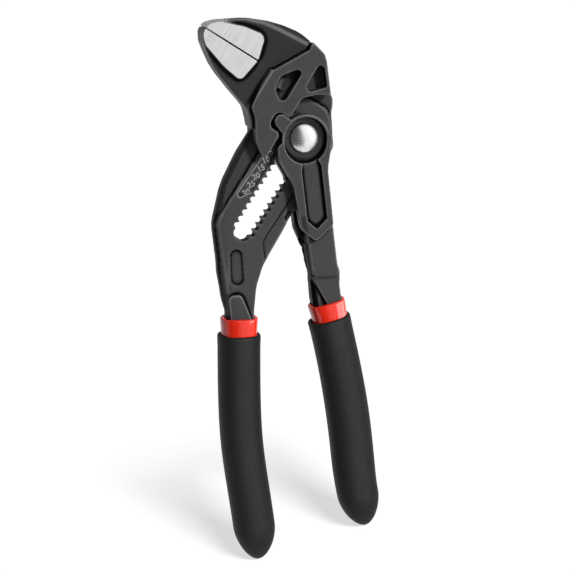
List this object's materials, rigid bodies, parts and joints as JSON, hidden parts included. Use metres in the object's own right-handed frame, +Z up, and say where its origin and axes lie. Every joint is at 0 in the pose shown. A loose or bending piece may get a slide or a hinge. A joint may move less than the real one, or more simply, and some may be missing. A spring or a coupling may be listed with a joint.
{
  "type": "pliers wrench",
  "caption": "Adjustable pliers wrench with smooth parallel jaws, a toothed adjusting slot, a push-button lock and dipped two-colour grips.",
  "frame": {"origin": "middle of the box's underside, on the floor under the two grip ends", "axes": "+Z up the handles to the jaws, +X toward the lever's side, the button side faces -Y"},
  "size_m": [0.0648, 0.0132, 0.1757],
  "materials": {
    "forged_black": "satin black oxide on a drop forging, ground bright on the jaw flats",
    "bolt_steel": "black oxide on turned steel",
    "hard_steel": "plain hardened steel",
    "bright_button": "bright turned and plated dome",
    "red_dip": "glossy red dipped vinyl",
    "black_dip": "fine matt grain on black dipped vinyl"
  },
  "bodies": {
    "fixed_leg": {"fixed_jaw_leg": "forged_black", "red_sleeve_left": "red_dip", "black_grip_left": "black_dip"},
    "carriage": {"pivot_bolt": "bolt_steel", "rear_cap": "bolt_steel", "button_spring": "hard_steel"},
    "lever": {"lever_leg": "forged_black", "red_sleeve_right": "red_dip", "black_grip_right": "black_dip"},
    "jaw": {"sliding_jaw": "forged_black"},
    "button": {"lock_key": "hard_steel", "push_button": "bright_button"}
  },
  "joints": [
    {"name": "adjust_slide", "type": "slide", "parent": "fixed_leg", "child": "carriage", "axis": [-0.7278, 0, -0.6858], "range_m": [0, 0.02856]},
    {"name": "lever_pivot", "type": "hinge", "parent": "carriage", "child": "lever", "pos_m": [0.01979, 0, 0.1335], "axis": [0, -1, 0], "range_deg": [0, 25]},
    {"name": "jaw_slide", "type": "slide", "parent": "carriage", "child": "jaw", "axis": [-0.7278, 0, -0.6858], "range_m": [0, 0.0043]},
    {"name": "button_press", "type": "slide", "parent": "carriage", "child": "button", "axis": [0, 1, 0], "range_m": [0, 0.0015], "stiffness_N_per_m": 600, "springref_m": -0.0015, "deforming": ["button_spring"]}
  ],
  "couplings": [
    {"joint": "jaw_slide", "follows": "lever_pivot", "m_per_rad": 0.009584}
  ]
}
